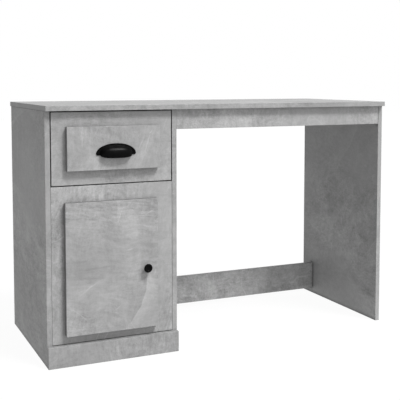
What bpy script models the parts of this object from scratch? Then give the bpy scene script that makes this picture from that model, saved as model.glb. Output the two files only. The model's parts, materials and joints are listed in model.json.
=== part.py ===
"""Writing desk with a pedestal on its left, which holds a drawer above a cupboard.

Metres, +Z up. The fronts face -Y, and the origin is on the floor under the middle of the
whole desk's box. Places are given as at(x, y, z): x from the desk's left side, y backwards
from the front edges of the side panels, and z from the floor.
"""

import math

import bmesh
import bpy
from mathutils import Matrix, Vector

# Driving dimensions.
WIDTH = 1.150
HEIGHT = 0.750
BOARD = 0.015
PANEL_DEPTH = 0.470
TOP_OVERHANG = 0.015  # at the front and at the back
PEDESTAL_WIDTH = 0.400
PLINTH_HEIGHT = 0.062
APRON_HEIGHT = 0.060
APRON_SETBACK = 0.001
STRETCHER_HEIGHT = 0.098
STRETCHER_LIFT = 0.0195
STRETCHER_SETBACK = 0.403
HARDBOARD = 0.003
GAP = 0.0003  # between boards that touch
EDGE = 0.0006  # rounding of a banded board edge

# Fronts of the drawer and the door.
DRAWER_REVEAL = 0.003
DOOR_HINGE_REVEAL = 0.0004
DOOR_FREE_REVEAL = 0.0007
SPLIT_HEIGHT = 0.521  # middle of the gap between the drawer and the door
DRAWER_TOP_REVEAL = 0.0035
DOOR_BOTTOM_REVEAL = 0.002
RAISED_BOARD = 0.016
RAISED_WIDTH = 0.280
DRAWER_RAISED_LEFT = 0.060
DRAWER_RAISED_BOTTOM = 0.564
DRAWER_RAISED_TOP = 0.690
DOOR_RAISED_LEFT = 0.053
DOOR_RAISED_BOTTOM = 0.088
DOOR_RAISED_TOP = 0.473

# Inside the pedestal.
DIVIDER_BOTTOM = 0.503
DIVIDER_SETBACK = 0.017
BACK_SETBACK = 0.4563  # front face of the hardboard back
GROOVE_DEPTH = 0.006

# Drawer box and its runners.
SIDE_BOARD = 0.012
RUNNER_SPACE = 0.0125
DRAWER_LENGTH = 0.400
DRAWER_SIDE_BOTTOM = 0.538
DRAWER_SIDE_TOP = 0.690
DRAWER_FLOOR_LIFT = 0.010
SHEET = 0.0012
CHANNEL_BOTTOM = 0.5398  # underside of the cabinet runner
CHANNEL_HEIGHT = 0.0244
CHANNEL_WIDTH = 0.0099
ROLLER_RADIUS = 0.0085
ROLLER_WIDTH = 0.0065
ROLLER_BORE = 0.0028
STUD_RADIUS = 0.0025
STUD_HEAD_RADIUS = 0.0045
STUD_HEAD = 0.001
STUD_REACH = 0.010  # from the board that the runner is screwed to
CHANNEL_START = 0.020
FRONT_ROLLER = 0.036
BACK_ROLLER = 0.404

# Cup pull and knob.
PULL_X = 0.204
PULL_Z = 0.611  # height of the pull's two tips
PULL_HALF_WIDTH = 0.0602
PULL_RISE = 0.0293
PULL_REACH = 0.0200
PULL_DOME_HALF_WIDTH = 0.0480
PULL_DOME_RISE = 0.0225
PULL_DOME_POWER = 2.8  # how square the dome's ends are: 2 would be an ellipsoid
PULL_WALL = 0.0022
PULL_PLATE = 0.0020
PULL_LIP_START = 0.0052  # the lip's slope starts this far below the tips
PULL_LIP_TILT = 25  # degrees that the lip slopes down, away from the panel
PULL_SCREWS = {"left": PULL_X - 0.032, "right": PULL_X + 0.032}
PULL_SCREW_Z = 0.620
PULL_BOSS_RADIUS = 0.0045
PULL_EAR = 0.0047  # rounding under each tip
PULL_SCREW_BITE = 0.0070
PULL_RINGS = 20
KNOB_X = 0.297
KNOB_Z = 0.268
KNOB_RADIUS = 0.0130
KNOB_REACH = 0.0155
KNOB_BORE = 0.009
SCREW_RADIUS = 0.002
SCREW_BORE = 0.0025
SCREW_HEAD_RADIUS = 0.0045
SCREW_HEAD = 0.0028

# Concealed hinges and cam locks.
HINGE_HEIGHTS = {"lower": 0.150, "upper": 0.434}
CUP_RADIUS = 0.0172
CUP_BORE_RADIUS = 0.0175
CUP_DEPTH = 0.0112
CUP_BORE_DEPTH = 0.0118
CUP_SETBACK = 0.0225
CUP_WALL = 0.0014
CUP_FLANGE_RADIUS = 0.0190
PLATE_START = 0.046
PLATE_LENGTH = 0.044
PLATE_HEIGHT = 0.032
PLATE_THICKNESS = 0.0022
ARM_HEIGHT = 0.015
CAM_RADIUS = 0.0072
CAM_BORE_RADIUS = 0.0075
CAM_DEPTH = 0.0115
CAM_BORE_DEPTH = 0.0120
CAM_INSET = 0.034  # from the board's end to the cam's middle
CAM_FRONT = 0.060
CAM_BACK = 0.400

# Worked out from the sizes above.
TOP_UNDERSIDE = HEIGHT - BOARD
PEDESTAL_RIGHT = PEDESTAL_WIDTH - BOARD  # inner face of the pedestal's right-hand panel
RIGHT_PANEL = WIDTH - BOARD
RAISED_FACE = -GAP - RAISED_BOARD
PULL_FACE = RAISED_FACE - GAP  # back of the pull and of the knob
FRONT_MOST = PULL_FACE - PULL_REACH
FRONT = -(FRONT_MOST + PANEL_DEPTH + TOP_OVERHANG) / 2
DRAWER_LEFT = BOARD + DRAWER_REVEAL
DRAWER_RIGHT = PEDESTAL_RIGHT - DRAWER_REVEAL
DRAWER_BOTTOM = SPLIT_HEIGHT + DRAWER_REVEAL / 2
DRAWER_TOP = TOP_UNDERSIDE - DRAWER_TOP_REVEAL
DOOR_LEFT = BOARD + DOOR_HINGE_REVEAL
DOOR_RIGHT = PEDESTAL_RIGHT - DOOR_FREE_REVEAL
DOOR_BOTTOM = PLINTH_HEIGHT + DOOR_BOTTOM_REVEAL
DOOR_TOP = SPLIT_HEIGHT - DRAWER_REVEAL / 2
BEHIND_FRONTS = BOARD + GAP
DRAWER_SIDE_LEFT = BOARD + RUNNER_SPACE
DRAWER_SIDE_RIGHT = PEDESTAL_RIGHT - RUNNER_SPACE
DRAWER_BACK_END = BEHIND_FRONTS + DRAWER_LENGTH
DRAWER_FLOOR = DRAWER_SIDE_BOTTOM + DRAWER_FLOOR_LIFT
CHANNEL_FLOOR = CHANNEL_BOTTOM + SHEET
RIDE_FLANGE = CHANNEL_FLOOR + 2 * ROLLER_RADIUS + 3 * GAP
RIDE_WIDTH = RUNNER_SPACE - 0.0032
RUNNER_WEB = GAP + SHEET / 2  # from a board to the middle of the sheet
STUD_START = GAP + SHEET / 3
ROLLER_MIDDLE = GAP + SHEET + 0.0005 + ROLLER_WIDTH / 2
CUP_X = DOOR_LEFT + CUP_SETBACK
PEDESTAL_MIDDLE = PEDESTAL_WIDTH / 2

COLORS = {
    "concrete_board": (0.42, 0.42, 0.42),
    "drawer_box_board": (0.55, 0.55, 0.54),
    "hardboard": (0.62, 0.60, 0.56),
    "black_metal": (0.012, 0.012, 0.013),
    "runner_steel": (0.80, 0.80, 0.78),
    "roller_plastic": (0.85, 0.85, 0.83),
    "hinge_steel": (0.60, 0.60, 0.60),
    "zinc_alloy": (0.55, 0.55, 0.56),
    "screw_steel": (0.62, 0.60, 0.55),
}
FINISHES = {  # roughness, metallic
    "concrete_board": (0.50, 0.0),
    "drawer_box_board": (0.55, 0.0),
    "hardboard": (0.70, 0.0),
    "black_metal": (0.35, 1.0),
    "runner_steel": (0.40, 0.2),
    "roller_plastic": (0.45, 0.0),
    "hinge_steel": (0.30, 1.0),
    "zinc_alloy": (0.45, 1.0),
    "screw_steel": (0.35, 1.0),
}

TO_MINUS_Y = Matrix.Rotation(math.radians(90), 4, "X")  # a lathe axis +Z turned to -Y
TO_PLUS_Y = Matrix.Rotation(math.radians(-90), 4, "X")
TO_PLUS_X = Matrix.Rotation(math.radians(90), 4, "Y")
TO_MINUS_X = Matrix.Rotation(math.radians(-90), 4, "Y")
TO_MINUS_Z = Matrix.Rotation(math.radians(180), 4, "X")
UPRIGHT = Matrix.Identity(4)


def at(x, y, z):
    """The world place of a point measured from the left side, the front edges and the floor."""
    return Vector((x - WIDTH / 2, y + FRONT, z))


def clear_scene():
    for obj in list(bpy.data.objects):
        bpy.data.objects.remove(obj, do_unlink=True)
    for collection in list(bpy.data.collections):
        bpy.data.collections.remove(collection)


def new_collection(name):
    collection = bpy.data.collections.new(name)
    bpy.context.scene.collection.children.link(collection)
    return collection


clear_scene()
PARTS = new_collection("writing_desk")
CUTTERS = new_collection("cutters")


def material_for(node, finish):
    """The node's own Principled material."""
    material = bpy.data.materials.new(node)
    material.use_nodes = True
    shader = material.node_tree.nodes["Principled BSDF"]
    roughness, metallic = FINISHES[finish]
    shader.inputs["Base Color"].default_value = (*COLORS[finish], 1.0)
    shader.inputs["Roughness"].default_value = roughness
    shader.inputs["Metallic"].default_value = metallic
    return material


def add_part(name, mesh, place, finish, turn=UPRIGHT, parent=None, smooth=False):
    """Puts a mesh in the scene as one named piece, under a parent empty if it has one."""
    obj = bpy.data.objects.new(name, mesh)
    PARTS.objects.link(obj)
    if not mesh.materials:
        mesh.materials.append(None)
    obj.material_slots[0].link = "OBJECT"
    obj.material_slots[0].material = material_for(name, finish)
    if smooth:
        mesh.shade_smooth()
        mesh.set_sharp_from_angle(angle=math.radians(35))
    obj.parent = parent
    origin = parent.location if parent else Vector()
    obj.matrix_local = Matrix.Translation(place - origin) @ turn
    return obj


def add_axis(name, place):
    """An empty on a joint's axis, which the moving pieces hang from."""
    empty = bpy.data.objects.new(name, None)
    empty.location = place
    PARTS.objects.link(empty)
    return empty


def mesh_from(bm, name):
    bmesh.ops.recalc_face_normals(bm, faces=bm.faces)
    mesh = bpy.data.meshes.new(name)
    bm.to_mesh(mesh)
    bm.free()
    return mesh


def box_mesh(name, size):
    bm = bmesh.new()
    bmesh.ops.create_cube(bm, size=1.0)
    bmesh.ops.scale(bm, vec=size, verts=bm.verts)
    return mesh_from(bm, name)


def cylinder_mesh(name, radius, depth, segments=32):
    """A cylinder from its origin along +Z."""
    bm = bmesh.new()
    middle = Matrix.Translation((0, 0, depth / 2))
    bmesh.ops.create_cone(
        bm, cap_ends=True, segments=segments, radius1=radius, radius2=radius, depth=depth, matrix=middle
    )
    return mesh_from(bm, name)


def add_bevel(obj, width, segments=2):
    bevel = obj.modifiers.new("edges", "BEVEL")
    bevel.width = width
    bevel.segments = segments
    bevel.limit_method = "ANGLE"
    return bevel


def add_board(name, low, high, finish, parent=None, edge=EDGE):
    """A board with lightly rounded edges between two corners."""
    size = high - low
    board = add_part(name, box_mesh(name, size), (low + high) / 2, finish, parent=parent)
    add_bevel(board, edge)
    return board


def add_cutter(name, mesh, place, turn=UPRIGHT):
    cutter = bpy.data.objects.new(name, mesh)
    CUTTERS.objects.link(cutter)
    cutter.matrix_local = Matrix.Translation(place) @ turn
    cutter.display_type = "WIRE"
    cutter.hide_render = True
    return cutter


def combine(obj, other, operation):
    """A Boolean of obj with another object."""
    boolean = obj.modifiers.new(other.name, "BOOLEAN")
    boolean.operation = operation
    boolean.solver = "EXACT"
    boolean.object = other
    return boolean


def drill(board, name, radius, depth, place, turn):
    """A round hole into a board, from a point on its face along the turned +Z."""
    start = turn @ Vector((0, 0, -GAP))
    bore = cylinder_mesh(name, radius, depth + GAP, segments=20)
    combine(board, add_cutter(name, bore, place + start, turn), "DIFFERENCE")


def settled_mesh(obj, name):
    """The object's mesh with its modifiers applied; the object is removed."""
    bpy.context.view_layer.update()
    graph = bpy.context.evaluated_depsgraph_get()
    mesh = bpy.data.meshes.new_from_object(obj.evaluated_get(graph))
    mesh.name = name
    bpy.data.objects.remove(obj, do_unlink=True)
    return mesh


def turned_mesh(name, profile, steps=32):
    """A solid of revolution about +Z. The profile runs outwards over the top, then down the side."""
    mesh = bpy.data.meshes.new(name)
    edges = [(i, i + 1) for i in range(len(profile) - 1)]
    if profile[0][0] > 0:
        edges.append((len(profile) - 1, 0))
    mesh.from_pydata([(radius, 0, height) for radius, height in profile], edges, [])
    blank = bpy.data.objects.new(name, mesh)
    CUTTERS.objects.link(blank)
    screw = blank.modifiers.new("turn", "SCREW")
    screw.axis = "Z"
    screw.steps = steps
    screw.render_steps = steps
    screw.use_merge_vertices = True
    screw.merge_threshold = 0.00001
    return settled_mesh(blank, name)


def outline_mesh(name, points, depth):
    """A flat outline given a thickness along Z, centred on z = 0."""
    curve = bpy.data.curves.new(name, "CURVE")
    curve.dimensions = "2D"
    curve.fill_mode = "BOTH"
    curve.extrude = depth / 2
    spline = curve.splines.new("POLY")
    spline.points.add(len(points) - 1)
    spline.use_cyclic_u = True
    for point, (x, y) in zip(spline.points, points):
        point.co = (x, y, 0, 1)
    blank = bpy.data.objects.new(name, curve)
    CUTTERS.objects.link(blank)
    mesh = settled_mesh(blank, name)
    bm = bmesh.new()
    bm.from_mesh(mesh)
    bmesh.ops.remove_doubles(bm, verts=bm.verts, dist=0.00001)
    bm.to_mesh(mesh)
    bm.free()
    return mesh


def arc(centre, radii, start, end, steps):
    """Points of an elliptical arc in the plane of a profile, angles in degrees."""
    angles = [math.radians(start + (end - start) * i / steps) for i in range(steps + 1)]
    return [(centre[0] + radii[0] * math.cos(a), centre[1] + radii[1] * math.sin(a)) for a in angles]


# ---------------------------------------------------------------- carcass


def add_carcass_boards():
    panel_top = TOP_UNDERSIDE - GAP
    boards = {
        "tabletop": ((0, -TOP_OVERHANG, TOP_UNDERSIDE), (WIDTH, PANEL_DEPTH + TOP_OVERHANG, HEIGHT)),
        "left_side_panel": ((0, 0, 0), (BOARD, PANEL_DEPTH, panel_top)),
        "pedestal_inner_panel": ((PEDESTAL_RIGHT, 0, 0), (PEDESTAL_WIDTH, PANEL_DEPTH, panel_top)),
        "right_side_panel": ((RIGHT_PANEL, 0, 0), (WIDTH, PANEL_DEPTH, panel_top)),
        "plinth_board": ((0, -BOARD, 0), (PEDESTAL_WIDTH, -GAP, PLINTH_HEIGHT)),
        "pedestal_bottom_panel": (
            (BOARD + GAP, GAP, PLINTH_HEIGHT - BOARD),
            (PEDESTAL_RIGHT - GAP, BACK_SETBACK - GAP, PLINTH_HEIGHT),
        ),
        "drawer_divider_panel": (
            (BOARD + GAP, DIVIDER_SETBACK, DIVIDER_BOTTOM),
            (PEDESTAL_RIGHT - GAP, BACK_SETBACK - GAP, DIVIDER_BOTTOM + BOARD),
        ),
        "front_apron": (
            (PEDESTAL_WIDTH + GAP, APRON_SETBACK, TOP_UNDERSIDE - APRON_HEIGHT),
            (RIGHT_PANEL - GAP, APRON_SETBACK + BOARD, panel_top),
        ),
        "rear_stretcher": (
            (PEDESTAL_WIDTH + GAP, STRETCHER_SETBACK, STRETCHER_LIFT),
            (RIGHT_PANEL - GAP, STRETCHER_SETBACK + BOARD, STRETCHER_LIFT + STRETCHER_HEIGHT),
        ),
    }
    return {
        name: add_board(name, at(*low), at(*high), "concrete_board") for name, (low, high) in boards.items()
    }


def cut_back_groove(panel, inner_face, into_panel):
    """The groove that the hardboard back slides down, open at both ends of the panel."""
    size = Vector((2 * (GROOVE_DEPTH + GAP), HARDBOARD + 2 * GAP, 2 * HEIGHT))
    middle = at(inner_face, BACK_SETBACK + HARDBOARD / 2, HEIGHT / 2)
    name = panel.name + "_groove"
    combine(panel, add_cutter(name, box_mesh(name, size), middle), "DIFFERENCE")
    return inner_face + into_panel * GROOVE_DEPTH


def add_pedestal_back(boards):
    left = cut_back_groove(boards["left_side_panel"], BOARD, -1)
    right = cut_back_groove(boards["pedestal_inner_panel"], PEDESTAL_RIGHT, 1)
    low = at(left, BACK_SETBACK, PLINTH_HEIGHT - BOARD)
    high = at(right, BACK_SETBACK + HARDBOARD, TOP_UNDERSIDE - GAP)
    add_board("pedestal_back_panel", low, high, "hardboard", edge=EDGE / 3)


def cam_mesh():
    """A cam lock's drum, with a cross slot in its face at z = 0; it reaches down into the board."""
    chamfer = 0.0004
    profile = [
        (0, 0),
        (CAM_RADIUS - chamfer, 0),
        (CAM_RADIUS, -chamfer),
        (CAM_RADIUS, -CAM_DEPTH),
        (0, -CAM_DEPTH),
    ]
    blank = bpy.data.objects.new("cam", turned_mesh("cam_blank", profile, steps=20))
    CUTTERS.objects.link(blank)
    slots = {"slot_long": (0.0110, 0.0016, 0.0040), "slot_short": (0.0016, 0.0070, 0.0040)}
    cutters = [add_cutter(name, box_mesh(name, Vector(size)), Vector()) for name, size in slots.items()]
    for cutter in cutters:
        combine(blank, cutter, "DIFFERENCE")
    mesh = settled_mesh(blank, "cam_lock")
    for cutter in cutters:
        bpy.data.objects.remove(cutter, do_unlink=True)
    return mesh


def add_cams(boards):
    """Cam locks in the hidden faces of the boards; each holds a bolt from its neighbour."""
    mesh = cam_mesh()
    top_cam = TOP_UNDERSIDE - CAM_INSET
    places = []
    for node, face, turn in (
        ("left_side_panel", BOARD, TO_PLUS_X),
        ("pedestal_inner_panel", PEDESTAL_RIGHT, TO_MINUS_X),
        ("right_side_panel", RIGHT_PANEL, TO_MINUS_X),
    ):
        for end, depth in (("front", CAM_FRONT), ("back", CAM_BACK)):
            places.append((node, end, (face, depth, top_cam), turn))
    left_end = PEDESTAL_WIDTH + CAM_INSET
    right_end = RIGHT_PANEL - CAM_INSET
    for node, back_face, height in (
        ("front_apron", APRON_SETBACK + BOARD, TOP_UNDERSIDE - APRON_HEIGHT / 2),
        ("rear_stretcher", STRETCHER_SETBACK + BOARD, STRETCHER_LIFT + STRETCHER_HEIGHT / 2),
    ):
        places.append((node, "left", (left_end, back_face, height), TO_PLUS_Y))
        places.append((node, "right", (right_end, back_face, height), TO_PLUS_Y))
    for node, underside in (
        ("pedestal_bottom_panel", PLINTH_HEIGHT - BOARD),
        ("drawer_divider_panel", DIVIDER_BOTTOM),
    ):
        for side, x in (("left", BOARD + CAM_INSET), ("right", PEDESTAL_RIGHT - CAM_INSET)):
            for end, depth in (("front", CAM_FRONT), ("back", CAM_BACK)):
                places.append((node, f"{end}_{side}", (x, depth, underside), TO_MINUS_Z))
    for node, where, place, turn in places:
        name = f"{node}_cam_{where}"
        into_board = turn @ Matrix.Rotation(math.radians(180), 4, "X")
        drill(boards[node], name + "_bore", CAM_BORE_RADIUS, CAM_BORE_DEPTH, at(*place), into_board)
        add_part(name, mesh, at(*place), "zinc_alloy", turn=turn, smooth=True)


# ---------------------------------------------------------------- drawer


def add_drawer_boards(slide):
    front = add_board(
        "drawer_front_panel",
        at(DRAWER_LEFT, 0, DRAWER_BOTTOM),
        at(DRAWER_RIGHT, BOARD, DRAWER_TOP),
        "concrete_board",
        slide,
    )
    raised = add_board(
        "drawer_raised_panel",
        at(DRAWER_RAISED_LEFT, RAISED_FACE, DRAWER_RAISED_BOTTOM),
        at(DRAWER_RAISED_LEFT + RAISED_WIDTH, -GAP, DRAWER_RAISED_TOP),
        "concrete_board",
        slide,
    )
    floor_left = DRAWER_SIDE_LEFT + SIDE_BOARD - GROOVE_DEPTH
    floor_right = DRAWER_SIDE_RIGHT - SIDE_BOARD + GROOVE_DEPTH
    for side, outer, inner in (
        ("left", DRAWER_SIDE_LEFT, DRAWER_SIDE_LEFT + SIDE_BOARD),
        ("right", DRAWER_SIDE_RIGHT, DRAWER_SIDE_RIGHT - SIDE_BOARD),
    ):
        low = at(min(outer, inner), BEHIND_FRONTS, DRAWER_SIDE_BOTTOM)
        high = at(max(outer, inner), DRAWER_BACK_END, DRAWER_SIDE_TOP)
        board = add_board(f"drawer_side_{side}", low, high, "drawer_box_board", slide)
        name = f"drawer_side_{side}_groove"
        size = Vector((2 * (GROOVE_DEPTH + GAP), 2 * DRAWER_LENGTH + BOARD, HARDBOARD + 2 * GAP))
        middle = at(inner, BEHIND_FRONTS + DRAWER_LENGTH / 2, DRAWER_FLOOR + HARDBOARD / 2)
        combine(board, add_cutter(name, box_mesh(name, size), middle), "DIFFERENCE")
    left, right = DRAWER_SIDE_LEFT + SIDE_BOARD + GAP, DRAWER_SIDE_RIGHT - SIDE_BOARD - GAP
    add_board(
        "drawer_back",
        at(left, DRAWER_BACK_END - SIDE_BOARD, DRAWER_FLOOR + HARDBOARD + GAP),
        at(right, DRAWER_BACK_END, DRAWER_SIDE_TOP),
        "drawer_box_board",
        slide,
    )
    add_board(
        "drawer_bottom",
        at(floor_left, BEHIND_FRONTS, DRAWER_FLOOR),
        at(floor_right, DRAWER_BACK_END, DRAWER_FLOOR + HARDBOARD),
        "hardboard",
        slide,
        edge=EDGE / 3,
    )
    return front, raised


def folded_sheet_mesh(name, profile, length):
    """Sheet metal: an open fold line in X and Z, drawn out along +Y."""
    bm = bmesh.new()
    line = [bm.verts.new((x, 0, z)) for x, z in profile]
    edges = [bm.edges.new(pair) for pair in zip(line, line[1:])]
    drawn = bmesh.ops.extrude_edge_only(bm, edges=edges)
    moved = [item for item in drawn["geom"] if isinstance(item, bmesh.types.BMVert)]
    bmesh.ops.translate(bm, verts=moved, vec=(0, length, 0))
    mesh = bpy.data.meshes.new(name)
    bm.to_mesh(mesh)
    bm.free()
    return mesh


def add_folded_sheet(name, profile, length, place, finish, parent=None):
    """The fold line is the middle of the sheet's thickness."""
    sheet = add_part(name, folded_sheet_mesh(name, profile, length), place, finish, parent=parent)
    solid = sheet.modifiers.new("thickness", "SOLIDIFY")
    solid.thickness = SHEET
    solid.offset = 0
    solid.use_even_offset = True
    return sheet


def add_stud(sheet, name, place, turn):
    """A riveted stud on a runner: it starts inside the sheet and ends in a flat head."""
    length = STUD_REACH - STUD_START
    profile = [
        (0, length),
        (STUD_HEAD_RADIUS, length),
        (STUD_HEAD_RADIUS, length - STUD_HEAD),
        (STUD_RADIUS, length - STUD_HEAD),
        (STUD_RADIUS, 0),
        (0, 0),
    ]
    combine(sheet, add_cutter(name, turned_mesh(name, profile, steps=24), place, turn), "UNION")


def roller_mesh():
    """A roller with a rounded tread and a bore, centred on its origin, with its axis on +Z."""
    half = ROLLER_WIDTH / 2
    rounding = 0.0008
    tread = ROLLER_RADIUS - rounding
    profile = [(ROLLER_BORE, half)]
    profile += arc((tread, half - rounding), (rounding, rounding), 90, 0, 2)
    profile += arc((tread, rounding - half), (rounding, rounding), 0, -90, 2)
    profile += [(ROLLER_BORE, -half)]
    return turned_mesh("roller", profile, steps=28)


def add_cabinet_runner(side, panel_face, out, away, mesh):
    """A channel screwed to a panel, with a roller near its front end; out is +1 or -1 along X."""
    half = SHEET / 2
    channel = [
        (out * CHANNEL_WIDTH, half),
        (out * RUNNER_WEB, half),
        (out * RUNNER_WEB, CHANNEL_HEIGHT - half),
        (out * CHANNEL_WIDTH, CHANNEL_HEIGHT - half),
    ]
    name = f"cabinet_runner_{side}"
    place = at(panel_face, CHANNEL_START, CHANNEL_BOTTOM)
    rail = add_folded_sheet(name, channel, DRAWER_LENGTH, place, "runner_steel")
    height = CHANNEL_FLOOR + ROLLER_RADIUS + 2 * GAP
    add_stud(rail, name + "_stud", at(panel_face + out * STUD_START, FRONT_ROLLER, height), away)
    axle = at(panel_face + out * ROLLER_MIDDLE, FRONT_ROLLER, height)
    add_part(f"cabinet_roller_{side}", mesh, axle, "roller_plastic", TO_PLUS_X, smooth=True)


def add_drawer_runner(side, box_face, out, back, mesh, slide):
    """A rail under a drawer side that rides on the cabinet roller, with a roller at its back end."""
    half = SHEET / 2
    foot = DRAWER_SIDE_BOTTOM - GAP - half
    ride = [
        (-out * RIDE_WIDTH, RIDE_FLANGE + half),
        (-out * RUNNER_WEB, RIDE_FLANGE + half),
        (-out * RUNNER_WEB, foot),
        (out * (SIDE_BOARD - GAP), foot),
    ]
    name = f"drawer_runner_{side}"
    place = at(box_face, BEHIND_FRONTS + GAP, 0)
    rail = add_folded_sheet(name, ride, DRAWER_LENGTH - GAP, place, "runner_steel", slide)
    height = CHANNEL_FLOOR + ROLLER_RADIUS + GAP
    add_stud(rail, name + "_stud", at(box_face - out * STUD_START, BACK_ROLLER, height), back)
    axle = at(box_face - out * ROLLER_MIDDLE, BACK_ROLLER, height)
    add_part(f"drawer_roller_{side}", mesh, axle, "roller_plastic", TO_PLUS_X, slide, smooth=True)


def add_runners(slide):
    mesh = roller_mesh()
    add_cabinet_runner("left", BOARD, 1, TO_PLUS_X, mesh)
    add_cabinet_runner("right", PEDESTAL_RIGHT, -1, TO_MINUS_X, mesh)
    add_drawer_runner("left", DRAWER_SIDE_LEFT, 1, TO_MINUS_X, mesh, slide)
    add_drawer_runner("right", DRAWER_SIDE_RIGHT, -1, TO_PLUS_X, mesh, slide)


def fixing_screw_mesh(grip, bite):
    """A machine screw along +Z: its flat seat is at z = 0 and its pan head is below."""
    dome = arc((0, 0), (SCREW_HEAD_RADIUS, -SCREW_HEAD), 0, 90, 3)
    length = grip + bite
    profile = [(0, length), (SCREW_RADIUS - 0.0004, length), (SCREW_RADIUS, length - 0.0004)]
    profile += [(SCREW_RADIUS, 0)] + dome[:-1] + [(0, -SCREW_HEAD)]
    return turned_mesh("fixing_screw", profile, steps=16)


def add_dome(name, radii, place):
    """An ellipsoid with its poles at its left and right ends, where it is squarer than a true one."""
    bm = bmesh.new()
    bmesh.ops.create_uvsphere(
        bm, u_segments=2 * PULL_RINGS + 2, v_segments=PULL_RINGS, radius=1.0, matrix=TO_PLUS_X
    )
    for vert in bm.verts:
        ring = math.hypot(vert.co.y, vert.co.z)
        widen = ring ** (2 / PULL_DOME_POWER - 1) if ring > 0.001 else 1.0
        along = math.copysign(abs(vert.co.x) ** (2 / PULL_DOME_POWER), vert.co.x)
        vert.co = Vector((along, vert.co.y * widen, vert.co.z * widen))
    bmesh.ops.scale(bm, vec=radii, verts=bm.verts)
    return add_cutter(name, mesh_from(bm, name), place)


def pull_rim_mesh():
    """The pull's rim plate before its back half is cut off: half an ellipse above two rounded ears."""
    side = PULL_HALF_WIDTH - PULL_EAR
    ear = (PULL_EAR, PULL_EAR)
    outline = arc((0, 0), (PULL_HALF_WIDTH, PULL_RISE), 0, 180, 2 * PULL_RINGS)
    outline += arc((-side, 0), ear, 180, 270, 5)[1:]
    outline += arc((side, 0), ear, 270, 360, 5)[:-1]
    mesh = outline_mesh("cup_pull", outline, 2 * PULL_PLATE)
    mesh.transform(TO_MINUS_Y)
    return mesh


def add_pull(slide):
    """A half-dome cup pull: a rim plate, a dome that is hollow and open below, two screw bosses."""
    place = at(PULL_X, PULL_FACE, PULL_Z)
    pull = add_part("cup_pull", pull_rim_mesh(), place, "black_metal", parent=slide)
    add_bevel(pull, PULL_PLATE / 3)
    radii = Vector((PULL_DOME_HALF_WIDTH, PULL_REACH, PULL_DOME_RISE))
    wall = Vector((PULL_WALL, PULL_WALL, PULL_WALL))
    combine(pull, add_dome("cup_pull_dome", radii, place), "UNION")
    combine(pull, add_dome("cup_pull_hollow", radii - wall, place), "DIFFERENCE")
    limit = add_dome("cup_pull_boss_limit", radii - wall / 2, place)
    for side, x in PULL_SCREWS.items():
        name = f"cup_pull_boss_{side}"
        blank = cylinder_mesh(name, PULL_BOSS_RADIUS, 2 * PULL_REACH, segments=20)
        boss = add_cutter(name, blank, at(x, PULL_FACE + PULL_PLATE, PULL_SCREW_Z), TO_MINUS_Y)
        combine(boss, limit, "INTERSECT")
        combine(pull, boss, "UNION")
    size = Vector((4 * PULL_HALF_WIDTH, 4 * PULL_REACH, 2 * PULL_RISE))
    back = place + Vector((0, 2 * PULL_REACH, 0))
    combine(pull, add_cutter("cup_pull_back_cut", box_mesh("back_cut", size), back), "DIFFERENCE")
    below = box_mesh("lip_cut", size)
    below.transform(Matrix.Translation((0, 0, -PULL_RISE)))
    tilt = Matrix.Rotation(math.radians(PULL_LIP_TILT), 4, "X")
    lip = add_cutter("cup_pull_lip_cut", below, place - Vector((0, 0, PULL_LIP_START)), tilt)
    combine(pull, lip, "DIFFERENCE")
    return pull


def add_pull_screws(front, raised, pull, slide):
    """The pull's two screws come through the drawer front and the raised panel from inside."""
    grip = BOARD + 2 * GAP - RAISED_FACE
    mesh = fixing_screw_mesh(grip, PULL_SCREW_BITE)
    for side, x in PULL_SCREWS.items():
        seats = {
            "drawer_front": (front, BOARD, 2 * BOARD),
            "drawer_raised": (raised, 0, 2 * BOARD),
            "cup_pull": (pull, PULL_FACE, PULL_SCREW_BITE + 3 * GAP),
        }
        for name, (body, y, depth) in seats.items():
            drill(body, f"{name}_bore_{side}", SCREW_BORE, depth, at(x, y, PULL_SCREW_Z), TO_MINUS_Y)
        head = at(x, BOARD + GAP, PULL_SCREW_Z)
        add_part(f"cup_pull_screw_{side}", mesh, head, "screw_steel", TO_MINUS_Y, slide, smooth=True)


# ---------------------------------------------------------------- door


def add_door_boards(hinge):
    door = add_board(
        "door_panel",
        at(DOOR_LEFT, 0, DOOR_BOTTOM),
        at(DOOR_RIGHT, BOARD, DOOR_TOP),
        "concrete_board",
        hinge,
    )
    raised = add_board(
        "door_raised_panel",
        at(DOOR_RAISED_LEFT, RAISED_FACE, DOOR_RAISED_BOTTOM),
        at(DOOR_RAISED_LEFT + RAISED_WIDTH, -GAP, DOOR_RAISED_TOP),
        "concrete_board",
        hinge,
    )
    return door, raised


def knob_profile():
    """From the middle of the dished face, round the head, down the neck to the foot and its bore."""
    lip = 0.0030
    crown = KNOB_REACH - lip
    profile = [(0, KNOB_REACH - 0.0012), (0.0070, KNOB_REACH - 0.0010), (0.0080, KNOB_REACH - 0.0004)]
    profile += arc((KNOB_RADIUS - lip, crown), (lip, lip), 90, -60, 7)
    profile += arc((0.0108, 0.0042), (0.0053, 0.0046), 100, 180, 4)
    profile += [(0.0055, 0.0022), (0.0066, 0.0010), (0.0072, 0.0006), (0.0072, 0)]
    profile += [(SCREW_BORE, 0), (SCREW_BORE, KNOB_BORE), (0, KNOB_BORE)]
    return profile


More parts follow.
